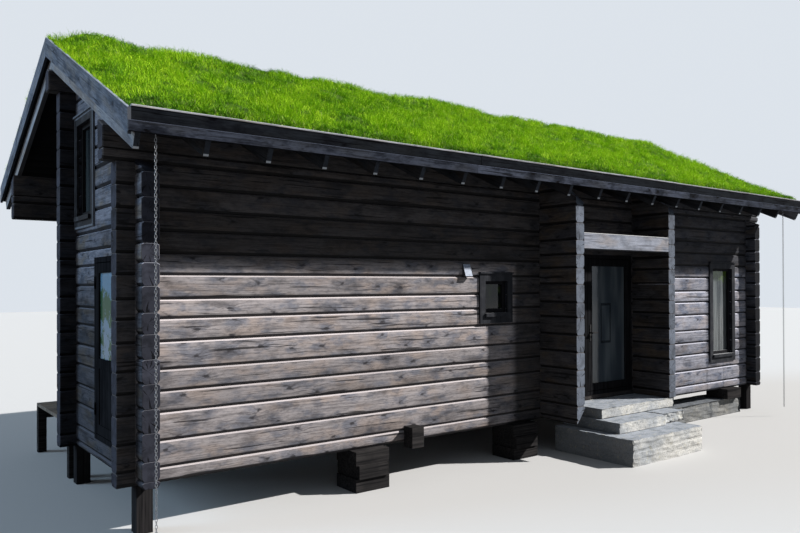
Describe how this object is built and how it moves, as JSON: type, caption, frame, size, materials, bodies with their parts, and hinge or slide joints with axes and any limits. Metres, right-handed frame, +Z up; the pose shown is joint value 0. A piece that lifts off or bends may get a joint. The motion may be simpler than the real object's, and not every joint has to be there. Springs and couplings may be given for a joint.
{
  "type": "log cabin",
  "caption": "Long single-storey log cabin with notched corners, a living turf roof, a recessed entry between wing walls, an open rear porch and two hinged doors.",
  "frame": {"origin": "on the level ground the cabin stands on, in the middle of its whole reach in plan (roof edges and steps included)", "axes": "+X along the ridge, to the right of a person who faces the entry; +Y from the entry front to the back; +Z up"},
  "size_m": [10.98, 6.19, 4.786],
  "materials": {
    "log_timber": "dark brown-black stain, weathered, matt",
    "roof_trim_boards": "slate-grey weathered stain, matt",
    "roof_timber": "dark stained boards and rafters, matt",
    "lintel_timber": "pale weathered timber, matt",
    "foundation_timber": "dark tarred timber, matt",
    "floor_timber": "oiled boards, matt",
    "door_timber": "dark stained timber, matt",
    "window_timber": "grey-brown stained timber, matt",
    "turf": "living grass on soil",
    "stone": "rough split stone, matt",
    "glass": "clear pane",
    "dark_iron": "black, satin",
    "chain_steel": "galvanised, dull",
    "lamp_metal": "pale paint, satin"
  },
  "bodies": {
    "cabin": {"bottom_step": "stone", "fascias": "roof_trim_boards", "floor": "floor_timber", "floor_beams": "foundation_timber", "foundation_stone": "stone", "front_door_frame": "door_timber", "front_wall_left": "log_timber", "front_wall_right": "log_timber", "gable_door_frame": "door_timber", "gable_left_corner": "log_timber", "gable_left_window_wall": "log_timber", "gable_wall_right": "log_timber", "landing_slab": "stone", "lintel_beam": "lintel_timber", "mid_wall": "log_timber", "middle_step": "stone", "porch_deck": "floor_timber", "porch_side_wall": "log_timber", "posts": "foundation_timber", "rafters_front": "roof_timber", "rafters_rear": "roof_timber", "rain_chains": "chain_steel", "rear_wall": "log_timber", "ridge_beam": "log_timber", "roof_boards_front": "roof_timber", "roof_boards_rear": "roof_timber", "side_stone": "stone", "timber_cribs": "foundation_timber", "top_logs": "log_timber", "turf_boards": "roof_trim_boards", "turf_front": "turf", "turf_rear": "turf", "verge_boards": "roof_trim_boards", "wall_lamp": "lamp_metal", "walls_over_doors": "log_timber", "walls_under_doors": "log_timber", "window_glass": "glass", "windows": "window_timber", "wing_walls": "log_timber"},
    "entry_door": {"front_door_leaf": "door_timber", "front_door_glass": "glass", "front_door_handle": "dark_iron"},
    "gable_door": {"gable_door_leaf": "door_timber", "gable_door_glass": "glass", "gable_door_handle": "dark_iron"}
  },
  "joints": [
    {"name": "entry_door_hinge", "type": "hinge", "parent": "cabin", "child": "entry_door", "pos_m": [1.749, -1.872, 0.69], "axis": [0, 0, 1], "range_deg": [0, 90]},
    {"name": "gable_door_hinge", "type": "hinge", "parent": "cabin", "child": "gable_door", "pos_m": [-5.222, -0.641, 0.69], "axis": [0, 0, -1], "range_deg": [0, 90]}
  ]
}
